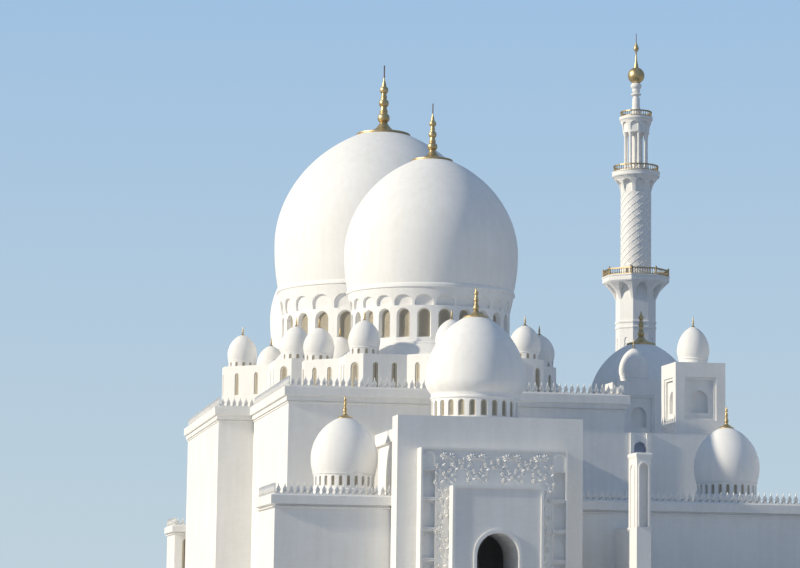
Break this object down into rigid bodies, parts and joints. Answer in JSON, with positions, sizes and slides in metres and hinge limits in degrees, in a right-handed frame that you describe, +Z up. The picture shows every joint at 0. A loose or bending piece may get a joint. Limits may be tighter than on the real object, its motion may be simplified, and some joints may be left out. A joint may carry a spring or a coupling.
{
  "type": "mosque building (1:10 scale model)",
  "caption": "White marble mosque with three great domes in a row on windowed drums and star-shaped bases, low wings with small domes, end portals and slender minarets with balconies.",
  "frame": {"origin": "on the ground under the middle of the main dome", "axes": "+X east, towards the entrance dome and the minarets; +Y north, along the row of domes; +Z up"},
  "size_m": [9.232, 17.9, 10.79],
  "materials": {
    "marble": "honed white marble",
    "paving": "pale stone paving",
    "gold": "gilded, satin",
    "lattice": "carved window lattice",
    "railing": "bronze railing"
  },
  "bodies": {
    "root": {"floor": "paving", "hall_south_wall": "marble", "hall_north_wall": "marble", "hall_west_wall": "marble", "hall_east_wall": "marble", "hall_roof_south": "marble", "hall_roof_middle": "marble", "hall_roof_north": "marble", "hall_parapet": "marble", "south_star_wall": "marble", "south_star_roof": "marble", "south_drum_1": "marble", "south_drum_2": "marble", "south_drum_3": "marble", "south_drum_4": "marble", "south_dome": "marble", "south_finial": "gold", "main_star_wall": "marble", "main_star_roof": "marble", "main_drum_1": "marble", "main_drum_2": "marble", "main_drum_3": "marble", "main_drum_4": "marble", "main_dome": "marble", "main_finial": "gold", "north_star_wall": "marble", "north_star_roof": "marble", "north_drum_1": "marble", "north_drum_2": "marble", "north_drum_3": "marble", "north_drum_4": "marble", "north_dome": "marble", "north_finial": "gold", "south_portal_screen": "marble", "south_portal_hall": "marble", "south_portal_dome": "marble", "southwest_wing": "marble", "southwest_wing_dome": "marble", "southeast_wing": "marble", "southeast_wing_dome": "marble", "south_gallery": "marble", "south_tower_1": "marble", "south_tower_2": "marble", "south_minaret_shaft": "marble", "south_minaret_lantern": "marble", "north_portal_screen": "marble", "north_portal_hall": "marble", "north_portal_dome": "marble", "northwest_wing": "marble", "northwest_wing_dome": "marble", "northeast_wing": "marble", "northeast_wing_dome": "marble", "north_gallery": "marble", "north_tower_1": "marble", "north_tower_2": "marble", "north_minaret_shaft": "marble", "north_minaret_lantern": "marble", "entrance_block": "marble", "entrance_dome": "marble"}
  },
  "joints": []
}
